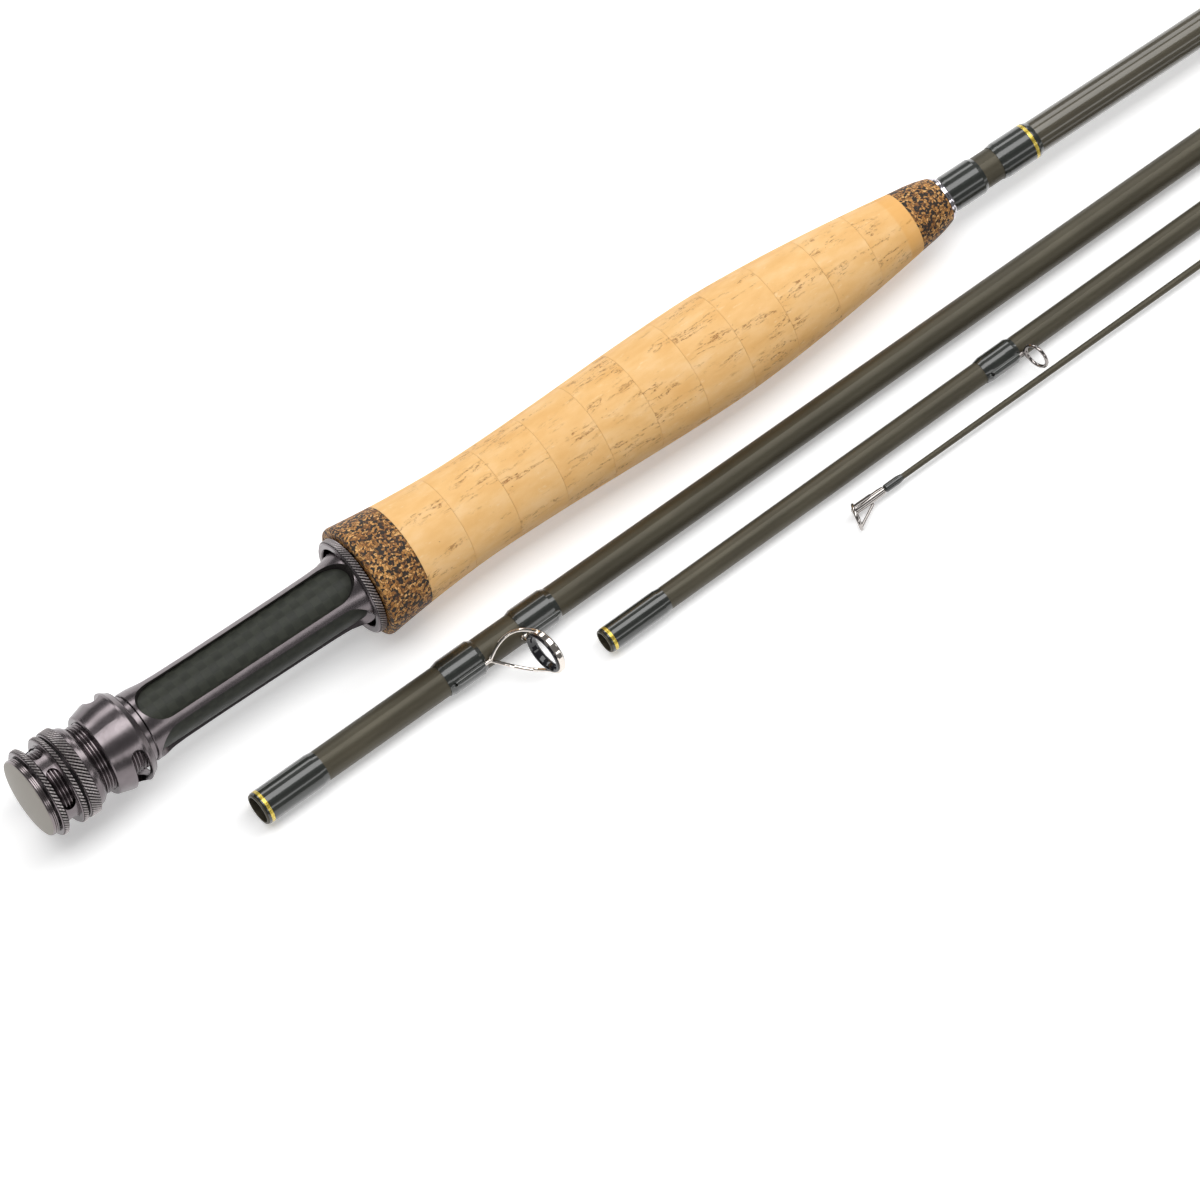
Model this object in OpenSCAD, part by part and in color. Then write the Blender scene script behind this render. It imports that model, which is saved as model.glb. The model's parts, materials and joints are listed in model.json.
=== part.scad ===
// Four-piece fly rod laid out in its sections: butt with reel seat and cork grip, two mid
// sections and the tip.  Every section runs along its own local +X from its butt end (u = 0).
// Millimetres, +Z up, the whole set resting on z = 0.

/* [Rod] */
// length of the rod when all four sections are plugged together
rod_length = 3048; // [2400:12:3400]
// how far each male end goes into the section in front of it
ferrule_depth = 57; // [40:1:80]
// gap kept between the male end and the female bore, on the radius
ferrule_fit = 0.03; // [0.01:0.005:0.1]
// glue line left between parts that are bonded or pressed together
glue_gap = 0.05; // [0.02:0.01:0.1]
// diameter of the blank at its butt end, inside the seat
blank_butt_d = 9.4; // [8:0.1:12]
// diameter of the blank where it leaves the grip
blank_grip_d = 8.0; // [6.8:0.1:10]
// diameter of the male end of the butt section
spigot_1_d = 6.4; // [5.6:0.1:8]
// diameter of the male end of the first mid section
spigot_2_d = 4.6; // [4:0.1:6]
// diameter of the male end of the second mid section
spigot_3_d = 3.3; // [2.8:0.1:4.5]
// diameter of the blank at the rod tip
blank_tip_d = 1.3; // [1:0.05:2.5]
// wall of the female end of the first mid section
female_1_wall = 0.57; // [0.4:0.01:1]
// wall of the female end of the second mid section
female_2_wall = 0.47; // [0.35:0.01:1]
// wall of the female end of the tip section
female_3_wall = 0.42; // [0.3:0.01:1]
// wall of the blank away from the joints
blank_wall = 0.5; // [0.3:0.05:1]

/* [Reel seat] */
// how far the end cap stands out past the thread, on the radius
cap_lip = 1.05; // [0.5:0.05:3]
// height of the dome on the cap
cap_dome = 0.9; // [0.3:0.1:3]
// width of the cap rim
cap_rim = 1.6; // [1:0.1:4]
// gap between the cap and the rear nut
cap_gap = 0.47; // [0.2:0.01:1]
// diameter over the thread crests
thread_d = 17.0; // [15:0.1:20]
// distance from one thread crest to the next
thread_pitch = 0.8; // [0.6:0.05:1.5]
// depth of the thread
thread_depth = 0.42; // [0.2:0.01:0.7]
// running gap of the nuts and the hood over the thread crests, on the radius
nut_fit = 0.06; // [0.02:0.01:0.1]
// end of the threaded barrel, from the cap face
barrel_end = 29; // [24:0.5:40]
// height of the knurled rings of the nuts over the thread, on the radius
nut_rise = 2; // [1.2:0.05:4]
// width of the rear knurled ring of the rear nut
nut_ring_a = 1.75; // [1:0.05:4]
// width of the open cage between the two rings of the rear nut
nut_cage = 3.5; // [2.5:0.1:6]
// width of the front knurled ring of the rear nut
nut_ring_b = 1.65; // [1:0.05:4]
// wall of the cage of the rear nut over the thread
nut_cage_wall = 0.65; // [0.3:0.05:1.5]
// land left between a cage slot and the knurled rings
cage_slot_land = 0.15; // [0.05:0.05:1]
// angle one cage slot spans round the nut
cage_slot_angle = 68; // [30:1:72]
// thickness of the washer between the two nuts
washer_t = 0.4; // [0.3:0.05:1]
// width of the knurl of the front nut
front_knurl = 3.1; // [2:0.1:6]
// length of the smooth nose of the front nut
front_nose = 2.3; // [1:0.1:5]
// gap from the nose of the front nut to the hood, as drawn
hood_gap = 2.8; // [1:0.1:8]
// length of the sliding hood
hood_length = 9.8; // [8:0.1:14]
// room for the reel foot between the seat and the hood pockets, on the radius
foot_room_t = 1.45; // [1:0.05:3]
// wall of the sliding hood round its pocket
hood_wall = 1.25; // [0.8:0.05:3]
// wall of the sliding hood at its rear edge
hood_rear_wall = 1.4; // [0.8:0.05:3]
// axial width of the two side slots in the hood
hood_slot = 3.8; // [2:0.1:5]
// angle one hood slot spans round the hood
hood_slot_angle = 92; // [40:1:110]
// wall of the barrel under the thread
barrel_wall = 0.93; // [0.6:0.01:2]
// thickness of the bushings between the blank and the insert
arbor_t = 0.8; // [0.4:0.05:1.2]
// wall of the seat frame at the middle of its windows
frame_wall = 0.775; // [0.5:0.025:2]
// width of the four windows
window_width = 9.4; // [5:0.1:9.6]
// bevel along the edge of each window
window_bevel = 0.45; // [0.1:0.05:1]
// depth of that bevel below the edge of the window
window_lip = 0.5; // [0.1:0.05:0.5]
// distance from the thread's end to the rear end of the windows
window_rear_gap = 2; // [0.8:0.1:10]
// distance from the front end of the windows to the collar
window_front_gap = 0.8; // [0.4:0.1:10]
// distance from the cap face to the rear face of the collar
collar_start = 86.4; // [78:0.2:110]
// width of the knurled collar
collar_w = 2.3; // [1.5:0.1:5]
// wall of the knurled collar round its pocket
collar_wall = 1.55; // [1.1:0.05:3]
// depth of the fixed hood pocket in the grip, from the collar face
fixed_hood_depth = 9; // [6:0.5:14]

/* [Grip] */
// thickness of one natural cork ring
cork_ring_t = 12.7; // [8:0.1:16]
// thickness of the rear composite cork ring
rear_burl_t = 11.3; // [10:0.1:16]
// thickness of the front composite cork ring
front_burl_t = 9.8; // [6:0.1:16]
// diameter at the rear edge of the grip
grip_rear_d = 27.6; // [25:0.1:32]
// diameter at the waist of the grip
grip_waist_d = 22.7; // [18:0.1:28]
// distance from the rear of the grip to the waist
grip_waist_x = 33.5; // [20:0.5:60]
// diameter at the swell of the grip
grip_swell_d = 25.3; // [20:0.1:30]
// distance from the rear of the grip to the swell
grip_swell_x = 96; // [70:0.5:120]
// diameter where the front composite ring starts
grip_neck_d = 15; // [13:0.1:20]
// diameter at the very front of the grip
grip_front_d = 11.2; // [10:0.1:14]

/* [Fittings] */
// thickness of the thread-and-varnish wraps over the bare blank
wrap_t = 0.42; // [0.25:0.01:0.8]
// thickness of the guide wraps on the thin tip section
tip_wrap_t = 0.36; // [0.2:0.01:0.8]
// width of the gold trim bands
trim_w = 0.8; // [0.5:0.05:2]
// length of the wrap at each female end
ferrule_wrap_l = 17; // [10:0.5:30]
// width of the rim round the bore of the stripping guide
stripper_rim = 1.6; // [1.4:0.05:3]
// inner diameter of the ceramic ring of the stripping guide
stripper_bore = 8.2; // [5:0.1:12]
// distance from the rod axis to the centre of the stripping guide
stripper_h = 13.4; // [11:0.1:20]
// distance from the female end of the first mid section to the stripping guide
stripper_u = 71; // [60:1:120]
// outer diameter of the largest wire guide
guide_d_max = 7.2; // [5:0.1:9]
// outer diameter of the smallest wire guide
guide_d_min = 4.6; // [3.5:0.1:6]
// thickness of the guide wire
guide_wire = 0.8; // [0.5:0.05:1.2]
// outer diameter of the loop of the tip-top
tip_loop_d = 6.6; // [4:0.1:9]

/* [Layout] */
// how far up from the -Y side the guides are rolled
guide_roll = 33; // [20:1:60]
// start of the first mid section along X, from the cap face
mid1_x = 41.3; // [20:0.1:120]
// start of the first mid section across Y
mid1_y = -27.8; // [-40:0.1:-26]
// heading of the first mid section
mid1_yaw = 1.45; // [0:0.05:1.5]
// start of the second mid section along X
mid2_x = 126.5; // [110:0.1:180]
// start of the second mid section across Y
mid2_y = -40; // [-60:0.1:-39]
// heading of the second mid section
mid2_yaw = 1.8; // [0:0.05:1.85]
// position of the tip-top along X
tip_x = 189.8; // [180:0.1:260]
// position of the tip-top across Y
tip_y = -47; // [-80:0.1:-46]
// heading of the line from the tip-top to the female end of the tip section
tip_yaw = 1.6; // [0:0.05:1.65]

/* [Hidden] */

section_length = (rod_length + 3 * ferrule_depth) / 4;
over = 1;                       // how far cutting bodies run past the face they open
cork_rings = 11;                // natural cork rings, one node each
cap_plug_l = 7;                 // length of the plug of the cap inside the barrel
fine = 96;                      // facets asked of round bodies
bar = 24;                       // facets asked of wire

// ---- stations of the butt section, from the cap face ----
nut_start = cap_rim + cap_gap;
ring_b_start = nut_start + nut_ring_a + nut_cage;
rear_nut_end = ring_b_start + nut_ring_b;
front_nut_start = rear_nut_end + washer_t;
front_nut_end = front_nut_start + front_knurl + front_nose;
hood_start = front_nut_end + hood_gap;
grip_start = collar_start + collar_w;
cork_start = grip_start + rear_burl_t;
front_burl_start = cork_start + cork_rings * cork_ring_t;
grip_end = front_burl_start + front_burl_t;
check_t = 1.5;
keeper_wrap_a = 9.6;            // length of the wrap behind the keeper
keeper_span = 4.7;              // bare blank between the two keeper wraps
keeper_wrap_b = 10.8;           // length of the wrap in front of the keeper
wrap_a_start = grip_end + check_t + glue_gap;
wrap_a_end = wrap_a_start + keeper_wrap_a;
wrap_b_start = wrap_a_end + keeper_span;
wrap_b_end = wrap_b_start + keeper_wrap_b;
blank_start = cap_rim + cap_plug_l + 0.5;   // the blank stops short of the cap's plug
insert_end = collar_start + fixed_hood_depth;
cap_d = thread_d + 2 * cap_lip;
nut_d = thread_d + 2 * nut_rise;
nut_cage_d = thread_d + 2 * nut_cage_wall;
cage_slot = nut_cage - 2 * cage_slot_land;
hood_pocket_d = thread_d + 2 * foot_room_t;
hood_d = hood_pocket_d + 2 * hood_wall;
hood_rear_d = thread_d + 2 * hood_rear_wall;
collar_d = hood_pocket_d + 2 * collar_wall;
barrel_bore = thread_d - 2 * thread_depth - 2 * barrel_wall;
insert_d = barrel_bore - 2 * glue_gap;
insert_bore = blank_butt_d + 2 * arbor_t;
frame_waist_d = barrel_bore + 2 * frame_wall;
window_start = barrel_end + window_rear_gap;
window_length = collar_start - window_front_gap - window_start;
stripper_d = stripper_bore + 2 * stripper_rim;
nut_bore = thread_d + 2 * nut_fit;
floor_t = 1.5;                  // floor of the fixed hood cup

// ---- blank diameters ----
taper_u = 65;                   // end of the thickened female end
female_1_d = spigot_1_d + 2 * ferrule_fit + 2 * female_1_wall;
female_2_d = spigot_2_d + 2 * ferrule_fit + 2 * female_2_wall;
female_3_d = spigot_3_d + 2 * ferrule_fit + 2 * female_3_wall;
spigot_u = section_length - ferrule_depth;

function line(a, b, x) = a[1] + (b[1] - a[1]) * (x - a[0]) / (b[0] - a[0]);
function r_butt(u) = (u < grip_end
    ? line([0, blank_butt_d], [grip_end, blank_grip_d], u)
    : u < spigot_u ? line([grip_end, blank_grip_d], [spigot_u, spigot_1_d], u)
    : spigot_1_d) / 2;
function r_mid(u, female, spigot) = (u < taper_u ? female
    : u < spigot_u ? line([taper_u, female], [spigot_u, spigot], u) : spigot) / 2;
function r_mid1(u) = r_mid(u, female_1_d, spigot_2_d);
function r_mid2(u) = r_mid(u, female_2_d, spigot_3_d);
function r_tip(u) = (u < taper_u ? female_3_d
    : line([taper_u, female_3_d], [section_length, blank_tip_d], u)) / 2;

// ---- guide stations and sizes, counted from each female end ----
spacing = section_length / 804.75;   // the stations keep their pattern on a longer or shorter rod
function stations(list) = [for (u = list) u * spacing];
mid1_guides = stations([355, 612]);
mid2_guides = stations([117, 328, 515, 682]);
tip_guides = stations([95, 235, 375, 510, 645]);
guide_count = 11;
function guide_d(i) = guide_d_max - (guide_d_max - guide_d_min) * i / (guide_count - 1);
foot_r = guide_wire / 2 + 0.05; // radius of the foot of a wire guide
foot_l = 8.5;                   // length of the foot of a wire guide
function foot_h(rb) = rb + foot_r + 0.06;
function guide_rise(i) = guide_d(i) / 2 + 1.2 - 0.06 * i;

// ---- heights that set each section down on z = 0 ----
function wrap_r(rb) = rb + wrap_t;
// pitch and starting height of an axis whose radii r1 at u1 and r2 at u2 touch the ground
function rest_pitch(u1, r1, u2, r2) = asin((r1 - r2) / (u2 - u1));
function rest_height(u1, r1, u2, r2) = r1 + u1 * sin(rest_pitch(u1, r1, u2, r2));
butt_rest = [grip_start + 1, grip_rear_d / 2, section_length, spigot_1_d / 2];
mid1_rest = [stripper_u - 8, wrap_r(r_mid1(stripper_u - 8)) + 0.1,
    mid1_guides[1], wrap_r(r_mid1(mid1_guides[1]))];
mid2_rest = [mid2_guides[0] - 5, wrap_r(r_mid2(mid2_guides[0] - 5)) + 0.1,
    mid2_guides[3], wrap_r(r_mid2(mid2_guides[3]))];
tip_lift = tip_loop_d / 2 - 0.55;
tip_rest = [tip_guides[0], r_tip(tip_guides[0]) + tip_wrap_t, section_length, tip_lift];
function pitch_of(r) = rest_pitch(r[0], r[1], r[2], r[3]);
function height_of(r) = rest_height(r[0], r[1], r[2], r[3]);

// the set is centred on its own bounding box
tip_top_side = 7.5;             // reach of the tip-top to -Y of its tube
set_min_x = -cap_dome;
set_max_x = tip_x + section_length * cos(tip_yaw);
set_min_y = tip_y - tip_top_side;
set_max_y = grip_rear_d / 2;
shift_x = -(set_min_x + set_max_x) / 2;
shift_y = -(set_min_y + set_max_y) / 2;

module lay(x, y, yaw, rest) {
    translate([x + shift_x, y + shift_y, height_of(rest)])
        rotate([0, 0, yaw])
        rotate([0, pitch_of(rest), 0])
        children();
}
module on_butt() {
    lay(0, 0, 0, butt_rest) children();
}
module on_mid1() {
    lay(mid1_x, mid1_y, mid1_yaw, mid1_rest) children();
}
module on_mid2() {
    lay(mid2_x, mid2_y, mid2_yaw, mid2_rest) children();
}
// the tip section lies the other way round, with the tip-top towards the grip
module on_tip() {
    lay(tip_x + section_length * cos(tip_yaw), tip_y + section_length * sin(tip_yaw),
        180 + tip_yaw, tip_rest) children();
}

// turns a profile of [u, r] points about the local X axis
module turned(pts) {
    rotate([0, 90, 0])
        rotate([0, 0, 180])
        rotate_extrude($fn = fine)
        polygon([for (p = pts) [p[1], p[0]]]);
}
// a plain tube from u0 to u1
module tube(u0, u1, ro, ri) {
    turned([[u0, ri], [u1, ri], [u1, ro], [u0, ro]]);
}
// a solid rod from u0 to u1
module rod_x(u0, u1, ra, rb, sides = fine) {
    translate([u0, 0, 0])
        rotate([0, 90, 0])
        cylinder(r1 = ra, r2 = rb, h = u1 - u0, $fn = sides);
}

// ------------------------------------------------ reel seat

module end_cap() color([0.72, 0.69, 0.66]) on_butt() {
    face_r = cap_d / 2 - 0.55;
    dome_r = (face_r * face_r + cap_dome * cap_dome) / (2 * cap_dome);
    plug_r = barrel_bore / 2 - glue_gap;
    groove = 0.18;
    steps = 8;                  // points along the dome
    turned(concat(
        [for (i = [0 : steps])
            let (r = face_r * i / steps)
            [dome_r - cap_dome - sqrt(dome_r * dome_r - r * r), r]],
        [[0.2, cap_d / 2 - 0.15],
        [0.5, cap_d / 2],
        [0.78, cap_d / 2],
        [0.86, cap_d / 2 - groove],
        [0.94, cap_d / 2],
        [1.18, cap_d / 2],
        [1.26, cap_d / 2 - groove],
        [1.34, cap_d / 2],
        [cap_rim, cap_d / 2],
        [cap_rim, plug_r],
        [cap_rim + cap_plug_l - 0.3, plug_r],
        [cap_rim + cap_plug_l, plug_r - 0.3],
        [cap_rim + cap_plug_l, 0]]));
}

// thread crests as rings of V section, evenly pitched
module threaded_barrel() color([0.5, 0.47, 0.47]) on_butt() {
    crest = thread_d / 2;
    root = crest - thread_depth;
    u0 = cap_rim + glue_gap;
    lead = 0.5;
    n = floor((barrel_end - u0 - 2 * lead) / thread_pitch);
    flat = thread_pitch * 0.12;
    turned(concat(
        [[u0, barrel_bore / 2], [u0, root], [u0 + lead, root]],
        [for (i = [0 : n - 1], k = [0 : 2])
            let (c = u0 + lead + (i + 0.5) * thread_pitch)
            k == 0 ? [c - flat, crest] : k == 1 ? [c + flat, crest]
            : [c + thread_pitch / 2, root]],
        [[barrel_end, root], [barrel_end, barrel_bore / 2]]));
}

module rear_lock_nut() color([0.52, 0.49, 0.49]) on_butt() {
    a0 = nut_start;
    a1 = a0 + nut_ring_a;
    b0 = ring_b_start;
    b1 = rear_nut_end;
    edge = 0.2;
    mid = (a1 + b0) / 2;
    cage_r = nut_cage_d / 2;
    difference() {
        turned([[a0, nut_bore / 2],
            [a0, nut_d / 2 - edge],
            [a0 + edge, nut_d / 2],
            [a1 - edge, nut_d / 2],
            [a1, nut_d / 2 - edge],
            [a1, cage_r],
            [b0, cage_r],
            [b0, nut_d / 2 - edge],
            [b0 + edge, nut_d / 2],
            [b1 - edge, nut_d / 2],
            [b1, nut_d / 2 - edge],
            [b1, nut_bore / 2]]);
        for (q = [0 : 3])
            rotate([37 + 90 * q, 0, 0])
                translate([mid, 0, 0])
                round_slot(cage_slot, cage_r * sin(cage_slot_angle / 2), 1, cage_r + 0.3);
    }
}

// a round-ended slot cut across the axis from local +Z, w wide and reaching half to each side
module round_slot(w, half, low, top) {
    translate([-w / 2, w / 2 - half, low])
        cube([w, 2 * half - w, top - low]);
    for (s = [-1, 1])
        translate([0, s * (half - w / 2), low])
            cylinder(d = w, h = top - low, $fn = 48);
}

module nut_washer() color([0.1, 0.1, 0.1]) on_butt() {
    tube(rear_nut_end + 0.04, front_nut_start - 0.04, nut_d / 2 - 1, nut_bore / 2);
}

module front_lock_nut() color([0.5, 0.47, 0.47]) on_butt() {
    u0 = front_nut_start;
    u1 = u0 + front_knurl;
    u2 = front_nut_end;
    edge = 0.2;
    turned([[u0, nut_bore / 2],
        [u0, nut_d / 2 - edge],
        [u0 + edge, nut_d / 2],
        [u1 - edge, nut_d / 2],
        [u1, nut_d / 2 - 0.55],
        [u1 + 0.7, nut_d / 2 - 0.65],
        [u1 + 1.4, nut_d / 2 - 0.9],
        [u2 - 0.4, nut_d / 2 - 1.25],
        [u2, nut_d / 2 - 1.65],
        [u2, nut_bore / 2]]);
}

module sliding_hood() color([0.55, 0.52, 0.52]) on_butt() {
    u0 = hood_start;
    u1 = u0 + hood_length;
    pocket_u = u0 + 2.8;
    big = hood_d / 2;
    difference() {
        turned([[u0, nut_bore / 2],
            [u0, hood_rear_d / 2 - 0.3],
            [u0 + 0.3, hood_rear_d / 2],
            [u0 + 1.1, hood_rear_d / 2 + 0.2],
            [u0 + 3.6, line([0, hood_rear_d / 2], [1, big], 0.72)],
            [u0 + 6.4, big - 0.1],
            [u1 - 2.1, big],
            [u1 - 1.5, big - 0.15],
            [u1 - 0.25, big - 0.95],
            [u1, big - 1.15],
            [u1, hood_pocket_d / 2 + 0.2],
            [u1 - 0.3, hood_pocket_d / 2],
            [pocket_u + 0.6, hood_pocket_d / 2],
            [pocket_u, hood_pocket_d / 2 - 0.6],
            [pocket_u, nut_bore / 2]]);
        for (s = [-1, 1])
            rotate([s * 90, 0, 0])
                translate([u0 + 6.1, 0, 0])
                round_slot(hood_slot, big * sin(hood_slot_angle / 2), 1, big + 1);
    }
}

module seat_frame() color([0.55, 0.52, 0.52]) on_butt() {
    u0 = barrel_end + glue_gap;
    u1 = collar_start + 1.2;
    mid = window_start + window_length / 2;
    waist = frame_waist_d / 2;
    end_w = window_width / 2;
    difference() {
        turned([[u0, barrel_bore / 2],
            [u0, thread_d / 2 - 0.2],
            [u0 + 0.2, thread_d / 2],
            [u0 + 2, thread_d / 2 - 0.05],
            [u0 + 5, thread_d / 2 - 0.3],
            [u0 + 9, waist + 0.1],
            [mid - 12, waist + 0.02],
            [mid, waist],
            [mid + 12, waist + 0.02],
            [u1 - 9, waist + 0.1],
            [u1 - 5.2, waist + 0.22],
            [u1 - 3.2, waist + 0.45],
            [u1 - 1.8, waist + 0.75],
            [u1 - 0.6, waist + 1.05],
            [u1 - 0.2, waist + 1.05],
            [u1, waist + 0.85],
            [u1, barrel_bore / 2]]);
        for (q = [0 : 3])
            rotate([90 * q, 0, 0])
                translate([mid, 0, 0])
                window_cut(window_length, end_w, waist);
    }
}

// one round-ended window with its bevelled edge, cut from local +Z
module window_cut(len, half, r) {
    low = barrel_bore / 2 - 2.8;
    top = r + 3;
    bevel_z = sqrt(r * r - half * half) - window_lip;
    rise = top - bevel_z;
    translate([-len / 2 + half, -half, low])
        cube([len - 2 * half, 2 * half, top - low]);
    for (s = [-1, 1])
        translate([s * (len / 2 - half), 0, 0]) {
            translate([0, 0, low])
                cylinder(r = half, h = top - low, $fn = fine);
            translate([0, 0, bevel_z])
                cylinder(r1 = half, r2 = half + rise * window_bevel, h = rise, $fn = fine);
        }
    translate([-len / 2 + half, 0, bevel_z])
        rotate([90, 0, 90])
        linear_extrude(len - 2 * half)
        polygon([[-half, 0],
            [half, 0],
            [half + rise * window_bevel, rise],
            [-half - rise * window_bevel, rise]]);
}

module seat_insert() color([0.2, 0.22, 0.2]) on_butt() {
    tube(blank_start - 0.2, insert_end - glue_gap, insert_d / 2, insert_bore / 2);
}

module fixed_hood() color([0.55, 0.52, 0.52]) on_butt() {
    u0 = collar_start;
    u1 = u0 + collar_w;
    u2 = u0 + fixed_hood_depth;
    cup_r = collar_d / 2 - 0.8;
    pocket_r = hood_pocket_d / 2;
    edge = 0.25;
    turned([[u0, pocket_r + 0.2],
        [u0, collar_d / 2 - edge],
        [u0 + edge, collar_d / 2],
        [u1 - edge, collar_d / 2],
        [u1, collar_d / 2 - edge],
        [u1, cup_r],
        [u2 + floor_t, cup_r],
        [u2 + floor_t, r_butt(u2) + glue_gap],
        [u2, r_butt(u2) + glue_gap],
        [u2, pocket_r],
        [u0 + 0.3, pocket_r]]);
}

// a bushing filling the space between the blank and the insert
module arbor(u0, u1) {
    turned([[u0, r_butt(u0) + glue_gap],
        [u1, r_butt(u1) + glue_gap],
        [u1, insert_bore / 2 - glue_gap],
        [u0, insert_bore / 2 - glue_gap]]);
}
module arbor_rear() color([0.85, 0.8, 0.7]) on_butt()
    arbor(blank_start + 3, blank_start + 18);
module arbor_front() color([0.85, 0.8, 0.7]) on_butt()
    arbor(insert_end - 22, insert_end - 6);

// ------------------------------------------------ butt blank

butt_wall = 0.9;                // wall of the blank inside the grip
male_wall = blank_wall + 0.2;   // wall of the butt section's male end
mouth_edge = 0.3;               // length of the eased edge at each male end
// tapered tube of the butt section, parallel at its male end
module butt_blank() color([0.3, 0.28, 0.22]) on_butt() {
    turned([[blank_start, r_butt(blank_start) - butt_wall],
        [blank_start, r_butt(blank_start)],
        [grip_end, r_butt(grip_end)],
        [spigot_u, spigot_1_d / 2],
        [section_length - mouth_edge, spigot_1_d / 2],
        [section_length, spigot_1_d / 2 - 0.2],
        [section_length, spigot_1_d / 2 - male_wall],
        [spigot_u, spigot_1_d / 2 - male_wall],
        [grip_end, r_butt(grip_end) - butt_wall]]);
}

// ------------------------------------------------ grip

// outer radius of the grip at a distance g from its rear face
function grip_r(g) =
    g < grip_waist_x
    ? (grip_waist_d + (grip_rear_d - grip_waist_d) * pow(1 - g / grip_waist_x, 1.7)) / 2
    : g < grip_swell_x
    ? (grip_waist_d + (grip_swell_d - grip_waist_d)
        * (1 - cos(180 * (g - grip_waist_x) / (grip_swell_x - grip_waist_x))) / 2) / 2
    : (grip_swell_d - (grip_swell_d - grip_neck_d)
        * pow((g - grip_swell_x) / (front_burl_start - grip_start - grip_swell_x), 1.55)) / 2;

module cork_ring(i) color([0.96, 0.8, 0.58]) on_butt() {
    u0 = cork_start + (i - 1) * cork_ring_t + glue_gap / 2;
    u1 = u0 + cork_ring_t - glue_gap;
    steps = 5;
    turned(concat(
        [[u0, r_butt(u0) + glue_gap]],
        [for (k = [0 : steps])
            let (u = u0 + (u1 - u0) * k / steps) [u, grip_r(u - grip_start)]],
        [[u1, r_butt(u1) + glue_gap]]));
}

module rear_burl_ring() color([0.6, 0.42, 0.24]) on_butt() {
    u0 = grip_start + glue_gap;
    u1 = cork_start - glue_gap / 2;
    seat_u = collar_start + fixed_hood_depth + floor_t + glue_gap;
    hood_r = collar_d / 2 - 0.8 + glue_gap;
    soft = 0.9;
    steps = 5;
    turned(concat(
        [[u0, hood_r], [u0, grip_r(0) - soft], [u0 + 0.3 * soft, grip_r(0) - 0.3 * soft]],
        [for (k = [0 : steps])
            let (u = u0 + soft + (u1 - u0 - soft) * k / steps)
            [u, grip_r(u - grip_start)]],
        [[u1, r_butt(u1) + glue_gap],
        [seat_u, r_butt(seat_u) + glue_gap],
        [seat_u, hood_r]]));
}

module front_burl_ring() color([0.55, 0.4, 0.24]) on_butt() {
    u0 = front_burl_start + glue_gap / 2;
    u1 = grip_end;
    a = grip_neck_d / 2;
    b = grip_front_d / 2;
    turned([[u0, r_butt(u0) + glue_gap],
        [u0, a],
        [u0 + 0.42 * front_burl_t, a - 0.28 * (a - b)],
        [u0 + 0.68 * front_burl_t, a - 0.52 * (a - b)],
        [u0 + 0.88 * front_burl_t, a - 0.8 * (a - b)],
        [u1, b],
        [u1, r_butt(u1) + glue_gap]]);
}

module winding_check() color([0.75, 0.73, 0.76]) on_butt() {
    u0 = grip_end + glue_gap;
    u1 = grip_end + check_t;
    ro = grip_front_d / 2;
    ri = r_butt(u0) + glue_gap;
    turned([[u0, ri],
        [u0, ro - 0.25],
        [u0 + 0.15, ro - 0.1],
        [u0 + 0.6, ro - 0.15],
        [u0 + 0.85, ro - 0.45],
        [u0 + 0.95, ro - 0.72],
        [u0 + 1.2, ro - 0.7],
        [u1, ro - 0.82],
        [u1, ri]]);
}

// ------------------------------------------------ wraps, bands and feet

// half the wrap profile: full height with a tapered varnish edge of length e at each end
module wrap_body(u0, u1, ra, rb, t, e0, e1) {
    turned([[u0, ra + 0.02],
        [u0, ra + 0.3 * t],
        [u0 + e0, ra + t],
        [u1 - e1, rb + t],
        [u1, rb + 0.12 * t],
        [u1, rb + 0.02]]);
}

// space a buried foot takes, with its glue gap
module foot_room(u0, u1, rb) {
    translate([0, 0, foot_h(rb)])
        rod_x(u0 - 0.3, u1 + 0.3, foot_r + 0.03, foot_r + 0.03, bar);
}

// bump of thread and varnish over a foot, lying on local +Z
module foot_cover(u0, u1, rb) {
    big = foot_r + 0.36;
    ramp = (u1 - u0) * 0.22;
    translate([0, 0, foot_h(rb) - 0.12]) {
        rod_x(u0, u0 + ramp, big * 0.38, big, bar);
        rod_x(u0 + ramp, u1 - ramp * 0.8, big, big, bar);
        rod_x(u1 - ramp * 0.8, u1, big, big * 0.62, bar);
    }
}

// wrap with one foot under it; ra and rb are the blank radii at its ends
module foot_wrap(u0, u1, ra, rb, t, foot_u0, foot_u1) {
    inner = max(ra, rb);
    difference() {
        union() {
            wrap_body(u0, u1, ra, rb, t, 1.3, 1.0);
            foot_cover(u0 + 0.5, u1 - 0.4, inner);
        }
        turned([[u0 - over, 0],
            [u0 - over, ra + 0.02],
            [u1 + over, rb + 0.02],
            [u1 + over, 0]]);
        foot_room(foot_u0, foot_u1, inner);
    }
}

// metallic thread band let into a wrap whose outer radius is r
module band(u, r) {
    tube(u, u + trim_w, r, r - 0.16);
}
module band_groove(u, r) {
    tube(u - 0.02, u + trim_w + 0.02, r + 1, r - 0.18);
}

// ------------------------------------------------ hook keeper

keeper_bow_r = keeper_span / 2 - 0.55;
keeper_wire = 0.35;
keeper_foot = 6;
module under_butt() {
    rotate([180, 0, 0]) children();
}
keeper_mid = (wrap_a_end + wrap_b_start) / 2;

module keeper_wrap_rear() color([0.08, 0.09, 0.08]) on_butt() under_butt() {
    foot_wrap(wrap_a_start, wrap_a_end, r_butt(wrap_a_start), r_butt(wrap_a_end), wrap_t,
        keeper_mid - keeper_bow_r - keeper_foot, wrap_a_end + over);
}

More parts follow.
